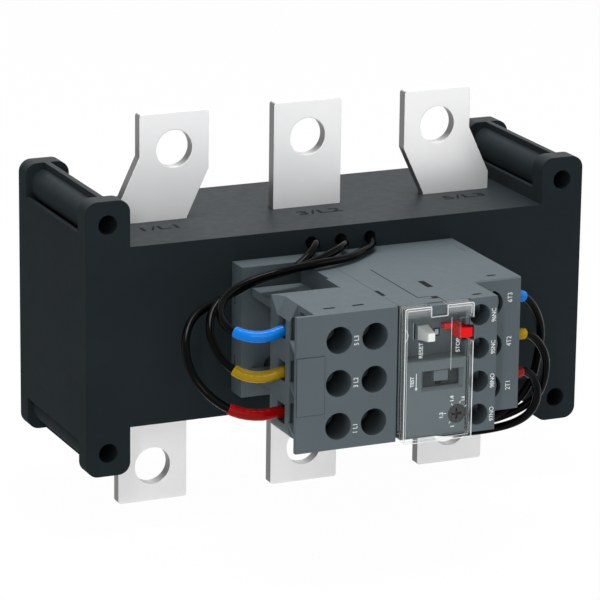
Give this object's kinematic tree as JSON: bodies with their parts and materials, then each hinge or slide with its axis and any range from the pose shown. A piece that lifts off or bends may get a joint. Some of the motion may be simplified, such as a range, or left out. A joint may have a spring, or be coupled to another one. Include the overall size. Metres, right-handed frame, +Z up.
{
  "type": "thermal overload relay",
  "caption": "Thermal overload relay with add-on terminal block on a black window-transformer block with flat bus bars, ears and leads.",
  "frame": {"origin": "centre of the four panel holes, on the back plane that lies on the panel", "axes": "+X right seen from the front, -Y to the front (keys and cover), +Z up"},
  "size_m": [0.1828, 0.137, 0.136],
  "materials": {
    "black_plastic": "fine grained",
    "tinned_bar": "satin tin plate on copper",
    "grey_plastic": "fine grained",
    "panel_grey": "smooth",
    "clear_plastic": "clear",
    "white_key": "smooth",
    "red_key": "smooth",
    "dark_dial": "smooth",
    "natural_plastic": "smooth",
    "winding_tape": "taped",
    "core_iron": "lacquered",
    "zinc_steel": "zinc plated",
    "copper_alloy": "plain",
    "bimetal": "rolled",
    "black_lead": "smooth",
    "blue_sleeve": "smooth",
    "yellow_sleeve": "smooth",
    "red_sleeve": "smooth"
  },
  "bodies": {
    "frame": {"aux_screws": "zinc_steel", "back_cover": "black_plastic", "bar_sleeves": "natural_plastic", "base_plate": "grey_plastic", "base_screws": "zinc_steel", "bimetal_carrier": "natural_plastic", "bimetal_strip_1": "bimetal", "bimetal_strip_2": "bimetal", "bimetal_strip_3": "bimetal", "blue_sleeves": "blue_sleeve", "bus_bar_1": "tinned_bar", "bus_bar_2": "tinned_bar", "bus_bar_3": "tinned_bar", "cover_screws": "zinc_steel", "fixed_contacts": "copper_alloy", "heater_1": "bimetal", "heater_2": "bimetal", "heater_3": "bimetal", "housing": "black_plastic", "label_panel": "panel_grey", "lead_grip_lower": "black_plastic", "lead_grip_upper": "black_plastic", "lever_pin": "zinc_steel", "line_lead_1": "black_lead", "line_lead_2": "black_lead", "line_lead_3": "black_lead", "link_bars": "copper_alloy", "load_clamps": "zinc_steel", "load_conductors": "copper_alloy", "load_lead_1": "black_lead", "load_lead_2": "black_lead", "load_lead_3": "black_lead", "load_screws": "zinc_steel", "marker_tab": "grey_plastic", "red_sleeves": "red_sleeve", "relay_back": "grey_plastic", "relay_case": "grey_plastic", "relay_pins": "copper_alloy", "ring_cores": "core_iron", "secondary_winding_1": "winding_tape", "secondary_winding_2": "winding_tape", "secondary_winding_3": "winding_tape", "terminal_block": "grey_plastic", "terminal_cap": "grey_plastic", "terminal_clamps": "zinc_steel", "terminal_screws": "zinc_steel", "yellow_sleeves": "yellow_sleeve"},
    "cover_body": {"cover": "clear_plastic"},
    "reset_body": {"reset_button": "white_key"},
    "stop_body": {"stop_button": "red_key"},
    "test_body": {"test_slider": "white_key"},
    "dial_body": {"current_dial": "dark_dial"},
    "slider_body": {"trip_slider": "natural_plastic"},
    "lever_body": {"trip_lever": "natural_plastic"},
    "contact_body": {"contact_carrier": "natural_plastic", "contact_bridges": "copper_alloy"},
    "flag_body": {"trip_flag": "red_key"}
  },
  "joints": [
    {"name": "cover_hinge", "type": "hinge", "parent": "frame", "child": "cover_body", "pos_m": [0.00175, -0.1322, -0.0213], "axis": [1, 0, 0], "range_deg": [0, 100]},
    {"name": "reset_push", "type": "slide", "parent": "frame", "child": "reset_body", "axis": [0, 1, 0], "range_m": [0, 0.0025], "stiffness_N_per_m": 200},
    {"name": "stop_push", "type": "slide", "parent": "frame", "child": "stop_body", "axis": [0, 1, 0], "range_m": [0, 0.0025], "stiffness_N_per_m": 200},
    {"name": "test_slide", "type": "slide", "parent": "frame", "child": "test_body", "axis": [0, 0, -1], "range_m": [0, 0.002], "stiffness_N_per_m": 150},
    {"name": "dial_turn", "type": "hinge", "parent": "frame", "child": "dial_body", "pos_m": [0.0098, -0.1343, -0.0153], "axis": [0, 1, 0], "range_deg": [0, 225]},
    {"name": "trip_slide", "type": "slide", "parent": "frame", "child": "slider_body", "axis": [0, 0, 1], "range_m": [0, 0.0012]},
    {"name": "trip_lever_turn", "type": "hinge", "parent": "frame", "child": "lever_body", "pos_m": [0.0155, -0.098, 0.007], "axis": [1, 0, 0], "range_deg": [0, 11.6]},
    {"name": "contact_slide", "type": "slide", "parent": "frame", "child": "contact_body", "axis": [0, -1, 0], "range_m": [0, 0.0015]},
    {"name": "flag_slide", "type": "slide", "parent": "frame", "child": "flag_body", "axis": [0, -1, 0], "range_m": [0, 0.0012]}
  ],
  "couplings": [
    {"joint": "trip_lever_turn", "follows": "trip_slide", "rad_per_m": 167.3},
    {"joint": "contact_slide", "follows": "trip_slide", "ratio": 1.25},
    {"joint": "flag_slide", "follows": "trip_slide", "ratio": 1}
  ]
}
